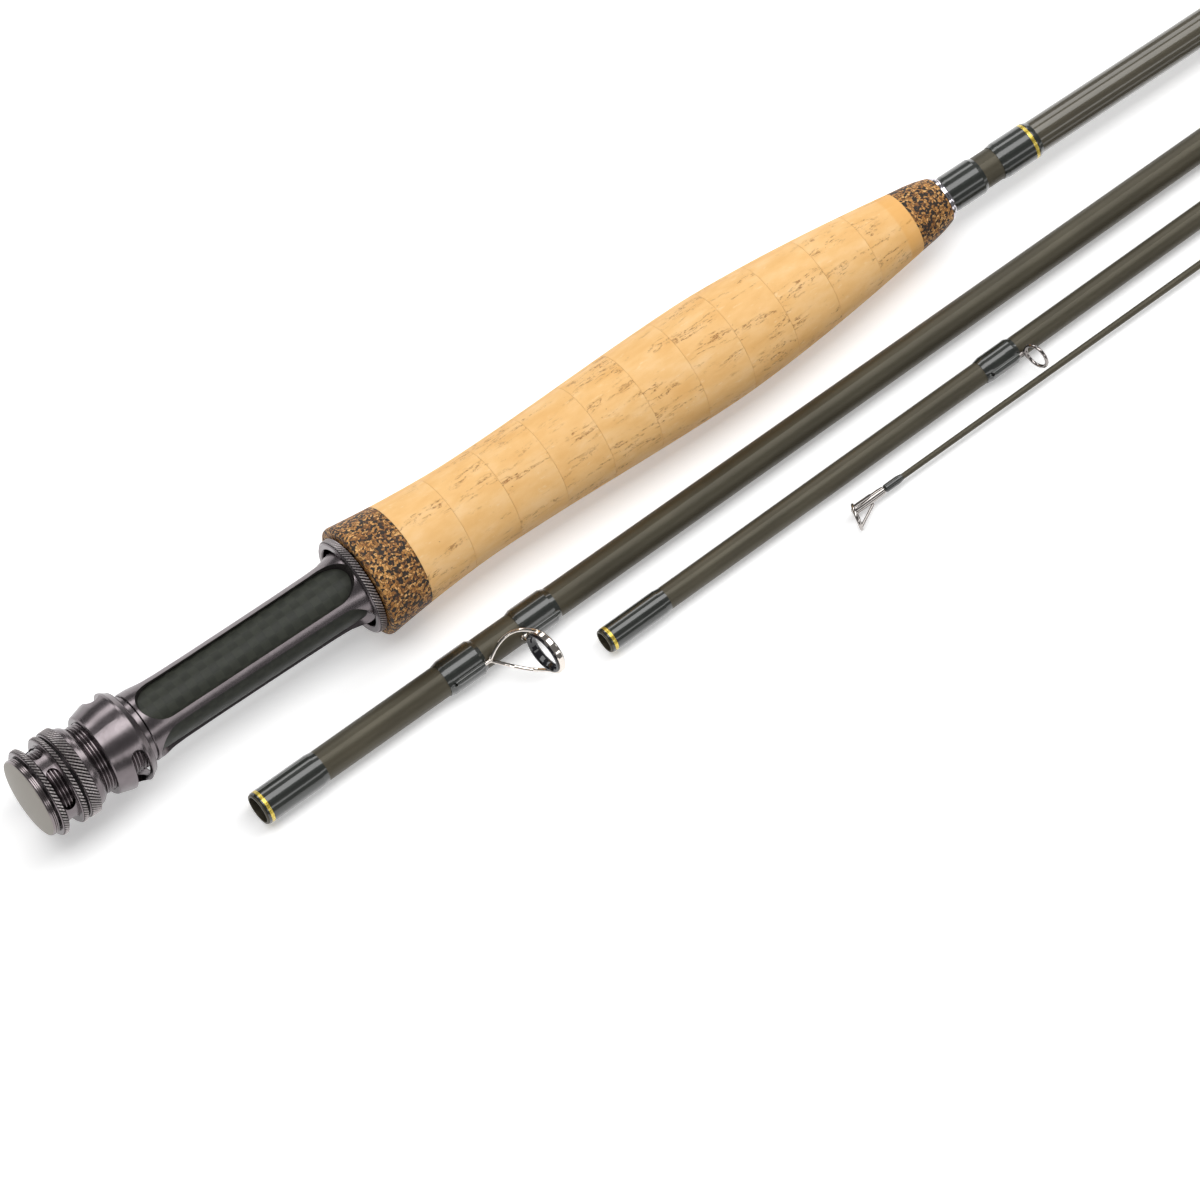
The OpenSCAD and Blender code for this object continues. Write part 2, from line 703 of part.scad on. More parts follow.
module keeper_wrap_front() color([0.08, 0.09, 0.08]) on_butt() under_butt() {
    difference() {
        foot_wrap(wrap_b_start, wrap_b_end, r_butt(wrap_b_start), r_butt(wrap_b_end),
            wrap_t, wrap_b_start - over, keeper_mid + keeper_bow_r + keeper_foot);
        band_groove(butt_band_u, butt_band_r);
    }
}
butt_band_u = wrap_b_end - 1.3 - trim_w;
butt_band_r = r_butt(butt_band_u) + wrap_t;

module butt_trim_band() color([0.9, 0.75, 0.2]) on_butt() {
    band(butt_band_u, butt_band_r);
}

module hook_keeper() color([0.7, 0.7, 0.72]) on_butt() under_butt() {
    rb = r_butt(wrap_a_end);
    h = foot_h(rb);
    translate([keeper_mid, 0, h])
        rotate([90, 0, 0])
        rotate_extrude(angle = 180, $fn = 64)
        translate([keeper_bow_r, 0])
        circle(r = keeper_wire, $fn = bar);
    for (s = [-1, 1])
        translate([keeper_mid + s * keeper_bow_r, 0, h]) {
            sphere(r = foot_r, $fn = bar);
            rotate([0, s * 90, 0])
                cylinder(r1 = foot_r - 0.05, r2 = foot_r * 0.6, h = keeper_foot - 0.6,
                    $fn = bar);
        }
}

// ------------------------------------------------ guides

// single-foot wire guide; its foot lies behind u on a blank of radius rb, out along +Z
module wire_guide(u, rb, i) {
    h = foot_h(rb);
    ring_r = (guide_d(i) - guide_wire) / 2;
    lean = 14;                  // the loop leans towards the rod tip
    rise = guide_rise(i) - foot_r;
    leg = 42;                   // the legs meet the loop this far round from its lowest point
    translate([u, 0, h]) {
        rotate([0, -90, 0])
            cylinder(r1 = foot_r, r2 = foot_r * 0.55, h = foot_l, $fn = bar);
        sphere(r = foot_r + 0.03, $fn = bar);
        rotate([0, lean, 0]) {
            translate([0, 0, rise])
                rotate([0, 90, 0])
                rotate_extrude($fn = 64)
                translate([ring_r, 0])
                circle(r = guide_wire / 2, $fn = bar);
            for (s = [-1, 1])
                rotate([-s * leg_angle(ring_r, rise, leg), 0, 0])
                    cylinder(r = guide_wire / 2 - 0.02,
                        h = leg_length(ring_r, rise, leg), $fn = bar);
        }
    }
}
// where a leg meets the loop, leg degrees up from its lowest point
function leg_y(r, a) = r * sin(a);
function leg_z(r, rise, a) = rise - r * cos(a);
function leg_angle(r, rise, a) = atan2(leg_y(r, a), leg_z(r, rise, a));
function leg_length(r, rise, a) = norm([leg_y(r, a), leg_z(r, rise, a)]);

module guide_wrap(u, rb_a, rb_b, t = wrap_t) {
    foot_wrap(u - foot_l - 1.6, u - 0.5, rb_a, rb_b, t, u - foot_l - 0.4, u + over);
}

// turns the guide side of a section towards -Y, rolled up by guide_roll
module guide_side() {
    rotate([90 - guide_roll, 0, 0]) children();
}
module tip_guide_side() {
    rotate([guide_roll - 90, 0, 0]) children();
}

// ------------------------------------------------ first mid section

// tube with a parallel female bore at its start and a parallel male end
module mid_tube(female, wall, spigot, bore_r) {
    turned([[0, bore_r],
        [0, female / 2 - 0.12],
        [0.12, female / 2],
        [taper_u, female / 2],
        [spigot_u, spigot / 2],
        [section_length - mouth_edge, spigot / 2],
        [section_length, spigot / 2 - 0.2],
        [section_length, spigot / 2 - blank_wall],
        [spigot_u, spigot / 2 - blank_wall],
        [taper_u + 8, female / 2 - wall - 0.25],
        [ferrule_depth + 3, bore_r - 0.2],
        [ferrule_depth + 2, bore_r]]);
}
bore_1_r = spigot_1_d / 2 + ferrule_fit;
bore_2_r = spigot_2_d / 2 + ferrule_fit;
bore_3_r = spigot_3_d / 2 + ferrule_fit;

ferrule_wrap_t = 0.24;
ferrule_wrap_u = 0.35;
band_u = 0.95;
module ferrule_wrap(r) {
    difference() {
        wrap_body(ferrule_wrap_u, ferrule_wrap_l, r, r, ferrule_wrap_t, 0.3, 1.6);
        band_groove(band_u, r + ferrule_wrap_t);
    }
}

module mid1_blank() color([0.3, 0.28, 0.22]) on_mid1()
    mid_tube(female_1_d, female_1_wall, spigot_2_d, bore_1_r);
module mid1_ferrule_wrap() color([0.08, 0.09, 0.08]) on_mid1()
    ferrule_wrap(female_1_d / 2);
module mid1_trim_band() color([0.9, 0.75, 0.2]) on_mid1()
    band(band_u, female_1_d / 2 + ferrule_wrap_t);

// stripping guide: two feet, two swept arms, a band round the ceramic ring
strip_rear_u = stripper_u - 9.6;    // where the arms leave the rear foot
strip_front_u = stripper_u - 0.4;   // where the strut leaves the front foot
strip_foot = 9;
strip_lean = 6;
strip_band_ro = stripper_d / 2;
strip_band_ri = strip_band_ro - 0.55;
module at_ring() {
    translate([stripper_u, 0, stripper_h])
        rotate([0, 90 + strip_lean, 0])
        children();
}
module stripper_frame() color([0.8, 0.78, 0.76]) on_mid1() guide_side() {
    rb = r_mid1(strip_rear_u - strip_foot);
    h = foot_h(rb);
    w = 1.5;
    at_ring()
        rotate_extrude($fn = fine)
        polygon([[strip_band_ri, -w / 2],
            [strip_band_ro - 0.2, -w / 2],
            [strip_band_ro, -w / 2 + 0.25],
            [strip_band_ro, w / 2 - 0.25],
            [strip_band_ro - 0.2, w / 2],
            [strip_band_ri, w / 2]]);
    // rear foot, front foot and the strut between the front foot and the band
    translate([strip_rear_u, 0, h]) {
        rotate([0, -90, 0])
            cylinder(r1 = foot_r, r2 = foot_r * 0.55, h = strip_foot, $fn = bar);
        sphere(r = foot_r + 0.1, $fn = bar);
    }
    translate([strip_front_u, 0, h]) {
        rotate([0, 90, 0])
            cylinder(r1 = foot_r, r2 = foot_r * 0.55, h = strip_foot, $fn = bar);
        sphere(r = foot_r + 0.1, $fn = bar);
        strut_top = stripper_h - h - strip_band_ro + 0.35;
        cylinder(r = 0.42, h = strut_top, $fn = bar);
    }
    for (s = [-1, 1])
        wire([for (k = [0 : arm_steps]) arm_point(k / arm_steps, s, h)], 0.42);
}
arm_steps = 14;
// one arm: low and wide behind the ring, then rising to its side
function arm_point(t, s, h) =
    let (reach = stripper_u - strip_rear_u,
        x = strip_rear_u + reach * (1 - pow(1 - t, 1.25)) * 0.995,
        y = s * (strip_band_ro + 0.15) * sin(min(90, 118 * t)),
        z = h + (stripper_h - h) * pow(t, 1.7))
    [x, y, z];

// a round wire along a chain of points
module wire(path, r) {
    sides = 10;
    n = len(path);
    function dir(i) = let (a = path[max(0, i - 1)], b = path[min(n - 1, i + 1)])
        (b - a) / norm(b - a);
    function across(i) = let (c = cross(dir(i), [0, 0, 1])) c / norm(c);
    function above(i) = cross(across(i), dir(i));
    pts = [for (i = [0 : n - 1], k = [0 : sides - 1])
        path[i] + r * (cos(360 * k / sides) * across(i) + sin(360 * k / sides) * above(i))];
    faces = concat(
        [for (i = [0 : n - 2], k = [0 : sides - 1])
            [i * sides + k, i * sides + (k + 1) % sides,
            (i + 1) * sides + (k + 1) % sides, (i + 1) * sides + k]],
        [[for (k = [0 : sides - 1]) sides - 1 - k]],
        [[for (k = [0 : sides - 1]) (n - 1) * sides + k]]);
    polyhedron(points = pts, faces = faces, convexity = 6);
}

module stripper_ring() color([0.05, 0.05, 0.06]) on_mid1() guide_side() at_ring() {
    ro = strip_band_ri - glue_gap;
    ri = stripper_bore / 2;
    w = 1.1;
    rotate_extrude($fn = fine)
        polygon([[ri, -0.35],
            [ri + 0.15, -0.75],
            [ri + 0.5, -w],
            [ro - 0.15, -w],
            [ro, -w + 0.15],
            [ro, w - 0.15],
            [ro - 0.15, w],
            [ri + 0.5, w],
            [ri + 0.15, 0.75],
            [ri, 0.35]]);
}

module stripper_wraps() color([0.08, 0.09, 0.08]) on_mid1() guide_side() {
    thick = wrap_t + 0.1;
    a0 = strip_rear_u - strip_foot - 1.8;
    a1 = strip_rear_u - 0.6;
    b0 = strip_front_u + 0.6;
    b1 = strip_front_u + strip_foot + 1.8;
    rb = r_mid1(a0);
    foot_wrap(a0, a1, r_mid1(a0), r_mid1(a1), thick, a0 + 1.2, a1 + over);
    difference() {
        union() {
            wrap_body(b0, b1, r_mid1(b0), r_mid1(b1), thick, 1.0, 1.3);
            foot_cover(b0 + 0.4, b1 - 0.5, rb);
        }
        turned([[b0 - over, 0],
            [b0 - over, r_mid1(b0) + 0.02],
            [b1 + over, r_mid1(b1) + 0.02],
            [b1 + over, 0]]);
        foot_room(b0 - over, b1 - 1.2, rb);
    }
}

module mid1_guide(n) color([0.35, 0.32, 0.3]) on_mid1() guide_side()
    wire_guide(mid1_guides[n], r_mid1(mid1_guides[n] - foot_l), n);
module mid1_guide_wraps() color([0.08, 0.09, 0.08]) on_mid1() guide_side()
    for (u = mid1_guides)
        guide_wrap(u, r_mid1(u - foot_l - 1.6), r_mid1(u - 0.5));

// ------------------------------------------------ second mid section

module mid2_blank() color([0.3, 0.28, 0.22]) on_mid2()
    mid_tube(female_2_d, female_2_wall, spigot_3_d, bore_2_r);
module mid2_ferrule_wrap() color([0.08, 0.09, 0.08]) on_mid2()
    ferrule_wrap(female_2_d / 2);
module mid2_trim_band() color([0.9, 0.75, 0.2]) on_mid2()
    band(band_u, female_2_d / 2 + ferrule_wrap_t);
module mid2_guide(n) color([0.35, 0.32, 0.3]) on_mid2() guide_side()
    wire_guide(mid2_guides[n], r_mid2(mid2_guides[n] - foot_l), n + len(mid1_guides));
module mid2_guide_wraps() color([0.08, 0.09, 0.08]) on_mid2() guide_side()
    for (u = mid2_guides)
        guide_wrap(u, r_mid2(u - foot_l - 1.6), r_mid2(u - 0.5));

// ------------------------------------------------ tip section

tip_tube_l = 9;                 // length of the tube of the tip-top
tip_tube_wall = 0.3;
tip_top_u = section_length - tip_tube_l;
tip_bore_r = r_tip(tip_top_u) + glue_gap;
// the blank stops short of the loop
tip_blank_end = section_length - 1.25;
tip_solid = 6.5;                // solid end of the blank inside the tip-top

module tip_blank() color([0.3, 0.28, 0.22]) on_tip() {
    turned([[0, bore_3_r],
        [0, female_3_d / 2 - 0.12],
        [0.12, female_3_d / 2],
        [taper_u, female_3_d / 2],
        [tip_blank_end, r_tip(tip_blank_end)],
        [tip_blank_end, 0],
        [section_length - 160, 0],
        [section_length - 162, r_tip(section_length - 162) - 0.5],
        [taper_u + 8, female_3_d / 2 - female_3_wall - 0.25],
        [ferrule_depth + 3, bore_3_r - 0.2],
        [ferrule_depth + 2, bore_3_r]]);
}
module tip_ferrule_wrap() color([0.08, 0.09, 0.08]) on_tip()
    ferrule_wrap(female_3_d / 2);
module tip_trim_band() color([0.9, 0.75, 0.2]) on_tip()
    band(band_u, female_3_d / 2 + ferrule_wrap_t);
module tip_guide(n) color([0.35, 0.32, 0.3]) on_tip() tip_guide_side()
    wire_guide(tip_guides[n], r_tip(tip_guides[n] - foot_l),
        n + len(mid1_guides) + len(mid2_guides));
module tip_guide_wraps() color([0.08, 0.09, 0.08]) on_tip() tip_guide_side()
    for (u = tip_guides)
        guide_wrap(u, r_tip(u - foot_l - 1.6), r_tip(u - 0.5), tip_wrap_t);

module tip_top() color([0.8, 0.78, 0.78]) on_tip() tip_guide_side() {
    wire_r = 0.4;
    ring_r = tip_loop_d / 2 - wire_r;
    tube_r = tip_bore_r + tip_tube_wall;
    lean = 24;
    cx = 0.4;
    cz = ring_r * 0.86;
    turned([[tip_top_u, tip_bore_r],
        [tip_top_u + 0.3, tube_r - 0.1],
        [tip_top_u + 1.5, tube_r],
        [section_length - 0.6, tube_r + 0.05],
        [section_length, tube_r - 0.35],
        [section_length, 0],
        [tip_blank_end + 0.2, 0],
        [tip_blank_end + 0.2, tip_bore_r]]);
    translate([section_length + cx, 0, cz])
        rotate([0, 90 + lean, 0])
        rotate_extrude($fn = 64)
        translate([ring_r, 0])
        circle(r = wire_r, $fn = bar);
    // two side stays from the tube to the loop
    for (s = [-1, 1])
        straight_wire([section_length - 5.2, s * (tube_r + 0.2), 0.3],
            [section_length + cx, s * ring_r, cz], wire_r - 0.05);
}
// straight wire between two points
module straight_wire(a, b, r) {
    d = b - a;
    l = norm(d);
    translate(a)
        rotate([0, acos(d[2] / l), atan2(d[1], d[0])])
        cylinder(r = r, h = l, $fn = bar);
}

module tip_top_wrap() color([0.08, 0.09, 0.08]) on_tip() {
    u0 = tip_top_u - 5;
    u1 = tip_top_u - glue_gap;
    wrap_body(u0, u1, r_tip(u0), r_tip(u1), 0.3, 1.2, 0.3);
}

end_cap();
threaded_barrel();
rear_lock_nut();
nut_washer();
front_lock_nut();
sliding_hood();
seat_frame();
seat_insert();
fixed_hood();
arbor_rear();
arbor_front();
butt_blank();
rear_burl_ring();
cork_ring(1);  // cork_ring_1
cork_ring(2);  // cork_ring_2
cork_ring(3);  // cork_ring_3
cork_ring(4);  // cork_ring_4
cork_ring(5);  // cork_ring_5
cork_ring(6);  // cork_ring_6
cork_ring(7);  // cork_ring_7
cork_ring(8);  // cork_ring_8
cork_ring(9);  // cork_ring_9
cork_ring(10);  // cork_ring_10
cork_ring(11);  // cork_ring_11
front_burl_ring();
winding_check();
keeper_wrap_rear();
keeper_wrap_front();
butt_trim_band();
hook_keeper();
mid1_blank();
mid1_ferrule_wrap();
mid1_trim_band();
stripper_frame();
stripper_ring();
stripper_wraps();
mid1_guide(0);  // mid1_guide_1
mid1_guide(1);  // mid1_guide_2
mid1_guide_wraps();
mid2_blank();
mid2_ferrule_wrap();
mid2_trim_band();
mid2_guide(0);  // mid2_guide_1
mid2_guide(1);  // mid2_guide_2
mid2_guide(2);  // mid2_guide_3
mid2_guide(3);  // mid2_guide_4
mid2_guide_wraps();
tip_blank();
tip_ferrule_wrap();
tip_trim_band();
tip_guide(0);  // tip_guide_1
tip_guide(1);  // tip_guide_2
tip_guide(2);  // tip_guide_3
tip_guide(3);  // tip_guide_4
tip_guide(4);  // tip_guide_5
tip_guide_wraps();
tip_top();
tip_top_wrap();
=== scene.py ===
import json
import math

import bmesh
import bpy
import numpy as np
from mathutils import Matrix, Vector


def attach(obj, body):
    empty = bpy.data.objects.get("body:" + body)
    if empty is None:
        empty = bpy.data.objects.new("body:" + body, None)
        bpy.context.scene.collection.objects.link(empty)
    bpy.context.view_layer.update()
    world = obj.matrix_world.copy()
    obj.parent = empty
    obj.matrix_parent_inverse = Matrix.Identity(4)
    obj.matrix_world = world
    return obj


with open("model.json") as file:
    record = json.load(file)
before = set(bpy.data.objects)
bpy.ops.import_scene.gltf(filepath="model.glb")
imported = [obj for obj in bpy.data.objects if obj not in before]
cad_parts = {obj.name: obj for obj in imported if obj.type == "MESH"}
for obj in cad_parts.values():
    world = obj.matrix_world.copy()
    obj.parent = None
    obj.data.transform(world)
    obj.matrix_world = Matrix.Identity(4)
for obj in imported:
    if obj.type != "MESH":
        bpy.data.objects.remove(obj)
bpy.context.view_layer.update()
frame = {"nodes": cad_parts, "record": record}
record = frame["record"]
nodes = frame["nodes"]
scene = bpy.context.scene
MM = 0.001


# ---------------------------------------------------------------- local axes of each section
def frame_of(origin, axis):
    """Rotation and origin of a section whose own +X is axis."""
    x = Vector(axis).normalized()
    y = Vector((0, 0, 1)).cross(x).normalized()
    z = x.cross(y)
    return Matrix((x, y, z)).transposed(), Vector(origin)


def mount(name):
    """A mount of the record, by name."""
    return [m for m in record["mounts"] if m["name"] == name][0]


def section(name):
    """A loose section's axes from its female end, half a bore length from its mount's centre."""
    m = mount(name)
    axis = -Vector(m["axis"])
    return frame_of(Vector(m["pos_m"]) - axis * m["dims"]["length_mm"] * MM / 2, axis)


turn = [j for j in record["behaviour"]["joints"] if j["name"] == "front_nut_turn"][0]
butt_axis = Vector(turn["axis"]).normalized()
turn_point = 10  # mm from the cap face to the point on the nuts' axis
BUTT = frame_of(Vector(turn["pos_m"]) - butt_axis * turn_point * MM, butt_axis)
MID1 = section("mid1_female_ferrule")
MID2 = section("mid2_female_ferrule")
TIP = section("tip_female_ferrule")


def local(node, where):
    """A node's corners in its section's own frame, in mm."""
    rot, origin = where
    co = np.array([v.co for v in nodes[node].data.vertices], float)
    return (co - np.array(origin)) @ np.array(rot) / MM


def profile(node, where):
    """[u, outer radius] steps of a turned node."""
    p = local(node, where)
    u = np.round(p[:, 0], 2)
    r = np.hypot(p[:, 1], p[:, 2])
    return [(float(k), float(r[u == k].max())) for k in np.unique(u)]


# ---------------------------------------------------------------- node helpers
class Mat:
    """A small builder of node materials."""

    def __init__(self, name):
        self.m = bpy.data.materials.new(name)
        self.m.use_nodes = True
        self.t = self.m.node_tree
        self.p = self.t.nodes["Principled BSDF"]

    def node(self, kind, **props):
        n = self.t.nodes.new(kind)
        for k, v in props.items():
            setattr(n, k, v)
        return n

    def link(self, a, b):
        self.t.links.new(a, b)

    def add(self, a, b):
        return self.math("ADD", a, b)

    def sub(self, a, b):
        return self.math("SUBTRACT", a, b)

    def mul(self, a, b):
        return self.math("MULTIPLY", a, b)

    def put(self, sock, v):
        if hasattr(v, "is_output"):
            self.link(v, sock)
        else:
            sock.default_value = v

    def math(self, op, a, b=0.0):
        n = self.node("ShaderNodeMath", operation=op)
        for s, v in zip(n.inputs, (a, b)):
            self.put(s, v)
        return n.outputs[0]

    def mix(self, f, a, b):
        n = self.node("ShaderNodeMix", data_type="RGBA")
        self.put(n.inputs[0], f)
        self.put(n.inputs[6], a)
        self.put(n.inputs[7], b)
        return n.outputs[2]

    def ramp(self, f, stops):
        n = self.node("ShaderNodeValToRGB")
        cr = n.color_ramp
        while len(cr.elements) < len(stops):
            cr.elements.new(0.5)
        for e, (pos, col) in zip(cr.elements, stops):
            e.position = pos
            e.color = (*col, 1) if len(col) == 3 else col
        self.link(f, n.inputs[0])
        return n.outputs[0]

    def ramp_f(self, f, a, b, lo=0.0, hi=1.0):
        n = self.node("ShaderNodeMapRange")
        n.interpolation_type = "SMOOTHSTEP"
        self.put(n.inputs[0], f)
        for i, v in enumerate((a, b, lo, hi)):
            n.inputs[i + 1].default_value = v
        return n.outputs[0]

    def coords(self, where):
        """Local coordinates in mm: vector, u along the axis, angle round it, radius."""
        rot, origin = where
        tc = self.node("ShaderNodeTexCoord")
        mp = self.node("ShaderNodeMapping", vector_type="TEXTURE")
        mp.inputs[1].default_value = origin
        mp.inputs[2].default_value = rot.to_euler()
        mp.inputs[3].default_value = (MM, MM, MM)
        self.link(tc.outputs["Object"], mp.inputs[0])
        s = self.node("ShaderNodeSeparateXYZ")
        self.link(mp.outputs[0], s.inputs[0])
        x, y, z = s.outputs
        ang = self.math("ARCTAN2", y, z)
        rad = self.math("SQRT", self.add(self.mul(y, y), self.mul(z, z)))
        return mp.outputs[0], x, ang, rad

    def vec(self, x, y, z):
        n = self.node("ShaderNodeCombineXYZ")
        for s, v in zip(n.inputs, (x, y, z)):
            self.put(s, v)
        return n.outputs[0]

    def noise(self, v, scale, detail=3.0, rough=0.55, dist=0.0, w=None):
        n = self.node("ShaderNodeTexNoise")
        if w is not None:
            n.noise_dimensions = "4D"
            self.put(n.inputs["W"], w)
        self.link(v, n.inputs["Vector"])
        n.inputs["Scale"].default_value = scale
        n.inputs["Detail"].default_value = detail
        n.inputs["Roughness"].default_value = rough
        n.inputs["Distortion"].default_value = dist
        return n.outputs[0]

    def wobbled(self, v, scale, size):
        """Coordinates shifted about by a coloured noise."""
        n = self.node("ShaderNodeVectorMath", operation="ADD")
        self.link(v, n.inputs[0])
        noise = self.node("ShaderNodeTexNoise")
        self.link(v, noise.inputs["Vector"])
        noise.inputs["Scale"].default_value = scale
        noise.inputs["Detail"].default_value = 3
        shift = self.node("ShaderNodeVectorMath", operation="SCALE")
        self.link(noise.outputs["Color"], shift.inputs[0])
        shift.inputs["Scale"].default_value = size
        self.link(shift.outputs[0], n.inputs[1])
        return n.outputs[0]

    def voronoi(self, v, scale, feature="F1"):
        n = self.node("ShaderNodeTexVoronoi", feature=feature)
        self.link(v, n.inputs["Vector"])
        n.inputs["Scale"].default_value = scale
        return n

    def bump(self, h, dist_mm, strength=1.0):
        n = self.node("ShaderNodeBump")
        n.inputs["Strength"].default_value = strength
        n.inputs["Distance"].default_value = dist_mm * MM
        self.link(h, n.inputs["Height"])
        self.link(n.outputs[0], self.p.inputs["Normal"])

    def set(self, **kw):
        names = {"color": "Base Color", "metal": "Metallic", "rough": "Roughness",
                 "coat": "Coat Weight", "coat_rough": "Coat Roughness",
                 "spec": "Specular IOR Level"}
        for k, v in kw.items():
            if k == "color" and not hasattr(v, "is_output") and len(v) == 3:
                v = (*v, 1)
            self.put(self.p.inputs[names[k]], v)
        return self


# ---------------------------------------------------------------- materials
def gunmetal():
    """Satin anodised aluminium with fine turning lines."""
    base = (0.170, 0.148, 0.155, 1)
    lift = (0.205, 0.180, 0.188, 1)
    m = Mat("gunmetal")
    v, u, ang, _ = m.coords(BUTT)
    tint = m.noise(v, 0.25, 3)
    lines = m.noise(m.vec(m.mul(u, 9.0), m.mul(ang, 0.6), 0.0), 1.0, 2)
    grain = m.noise(v, 9.0, 4)
    m.set(color=m.mix(m.ramp_f(tint, 0.3, 0.7), base, lift), metal=1.0)
    m.set(rough=m.add(m.mul(grain, 0.10), 0.20))
    m.bump(m.add(m.mul(lines, 0.5), m.mul(grain, 0.35)), 0.012, 0.6)
    return m.m


def cap_material():
    """Pale satin dome, gunmetal rim."""
    m = Mat("cap_metal")
    v, u, ang, rad = m.coords(BUTT)
    grain = m.noise(v, 12.0, 4)
    face = m.ramp_f(u, 0.05, 0.3, 1.0, 0.0)
    m.set(color=m.mix(face, (0.235, 0.205, 0.21, 1), (0.34, 0.315, 0.28, 1)))
    m.set(metal=m.sub(1.0, m.mul(face, 0.55)))
    m.set(rough=m.add(m.mul(face, 0.30), m.add(m.mul(grain, 0.06), 0.19)))
    turn_lines = m.noise(m.vec(m.mul(rad, 6.0), 0.0, m.mul(ang, 0.3)), 1.0, 2)
    m.bump(m.add(m.mul(grain, 0.5), m.mul(turn_lines, 0.3)), 0.01, 0.5)
    return m.m


def carbon_insert():
    """Clear-coated woven carbon: soft dark squares, each with its own fibre direction."""
    m = Mat("insert_carbon")
    v, u, ang, _ = m.coords(BUTT)
    insert_r = 7.1  # mm
    cell = 2.1      # side of one square of the weave, mm
    ribs = 30.0     # fibres, as radians per mm
    arc = m.mul(ang, insert_r)
    a = m.math("FLOOR", m.math("DIVIDE", u, cell))
    b = m.math("FLOOR", m.math("DIVIDE", arc, cell))
    par = m.math("PINGPONG", m.add(a, b), 1.0)
    fib_u = m.math("SINE", m.mul(u, ribs))
    fib_a = m.math("SINE", m.mul(arc, ribs))
    fibre = m.add(m.mul(fib_a, par), m.mul(fib_u, m.sub(1.0, par)))
    cloud = m.noise(v, 0.5, 4)
    f = m.add(m.mul(par, 0.30), m.mul(cloud, 0.70))
    m.set(color=m.ramp(f, [(0.15, (0.017, 0.019, 0.014)), (0.85, (0.036, 0.039, 0.029))]),
          metal=0.0, coat=0.12, coat_rough=0.3, spec=0.22)
    m.set(rough=m.add(0.5, m.mul(par, 0.08)))
    m.bump(m.add(m.mul(fibre, 0.5), par), 0.02, 0.35)
    return m.m


CORK_RINGS = 11


def natural_cork(start, pitch):
    """Natural cork rings: every ring has its own grain, with ragged pits along the axis."""
    m = Mat("cork")
    v, u, _, _ = m.coords(BUTT)
    ring = m.math("FLOOR", m.math("DIVIDE", m.sub(u, start), pitch))
    wn = m.node("ShaderNodeTexWhiteNoise", noise_dimensions="1D")
    m.link(ring, wn.inputs["W"])
    seed = m.mul(wn.outputs["Value"], 37.0)
    tone = wn.outputs["Value"]
    s = m.node("ShaderNodeSeparateXYZ")
    m.link(v, s.inputs[0])

    def grain(stretch, scale, detail, rough=0.55, dist=0.0, shift=None):
        """Noise drawn out along the axis, different in every ring."""
        w = seed if shift is None else m.add(seed, shift)
        p = m.vec(m.mul(u, stretch), s.outputs[1], s.outputs[2])
        return m.noise(p, scale, detail, rough, dist, w=w)

    warp = grain(0.4, 0.3, 3)
    base = m.ramp(warp, [(0.30, (0.84, 0.475, 0.165)), (0.5, (0.89, 0.54, 0.215)),
                         (0.70, (0.93, 0.61, 0.29))])
    shade = m.mix(m.mul(tone, 0.10), base, (0.80, 0.46, 0.18, 1))
    fine = m.noise(v, 3.2, 5, 0.7, w=seed)
    shade = m.mix(m.ramp_f(fine, 0.55, 0.78, 0.0, 0.35), shade, (0.66, 0.36, 0.13, 1))
    pale = grain(0.35, 0.9, 4, 0.6, shift=9.0)
    shade = m.mix(m.ramp_f(pale, 0.60, 0.72, 0.0, 0.45), shade, (0.95, 0.70, 0.40, 1))
    # long thin channels along the axis, broken into ragged pits
    chan = grain(0.16, 0.85, 4, 0.62, 0.25, shift=3.0)
    crack = m.math("ABSOLUTE", m.sub(chan, 0.5))
    line = m.ramp_f(crack, 0.006, 0.034, 1.0, 0.0)
    where_lines = grain(0.22, 0.33, 2, shift=17.0)
    broken = m.noise(v, 1.1, 4, 0.7, w=m.add(seed, 5.0))
    line = m.mul(line, m.ramp_f(where_lines, 0.50, 0.62))
    line = m.mul(line, m.ramp_f(broken, 0.42, 0.56))
    spots = grain(0.7, 1.5, 5, 0.66, shift=29.0)
    pit = m.mul(m.ramp_f(spots, 0.655, 0.71), m.ramp_f(where_lines, 0.36, 0.56))
    mark = m.math("MAXIMUM", line, pit)
    shade = m.mix(m.mul(mark, 0.85), shade, (0.40, 0.165, 0.05, 1))
    # the glue seams between rings, barely visible
    off = m.sub(m.math("DIVIDE", m.sub(u, start), pitch), ring)
    edge = m.math("MINIMUM", off, m.sub(1.0, off))
    seam = m.ramp_f(edge, 0.002, 0.008, 0.03, 0.0)
    shade = m.mix(seam, shade, (0.62, 0.32, 0.10, 1))
    # a darker band at the front end
    end = start + CORK_RINGS * pitch
    last = m.ramp_f(u, end - 4.2, end - 3.4, 0.0, 0.55)
    shade = m.mix(last, shade, (0.84, 0.42, 0.10, 1))
    m.set(color=shade, rough=0.62, spec=0.35)
    h = m.sub(m.mul(fine, 0.12), mark)
    m.bump(h, 0.25, 0.55)
    return m.m


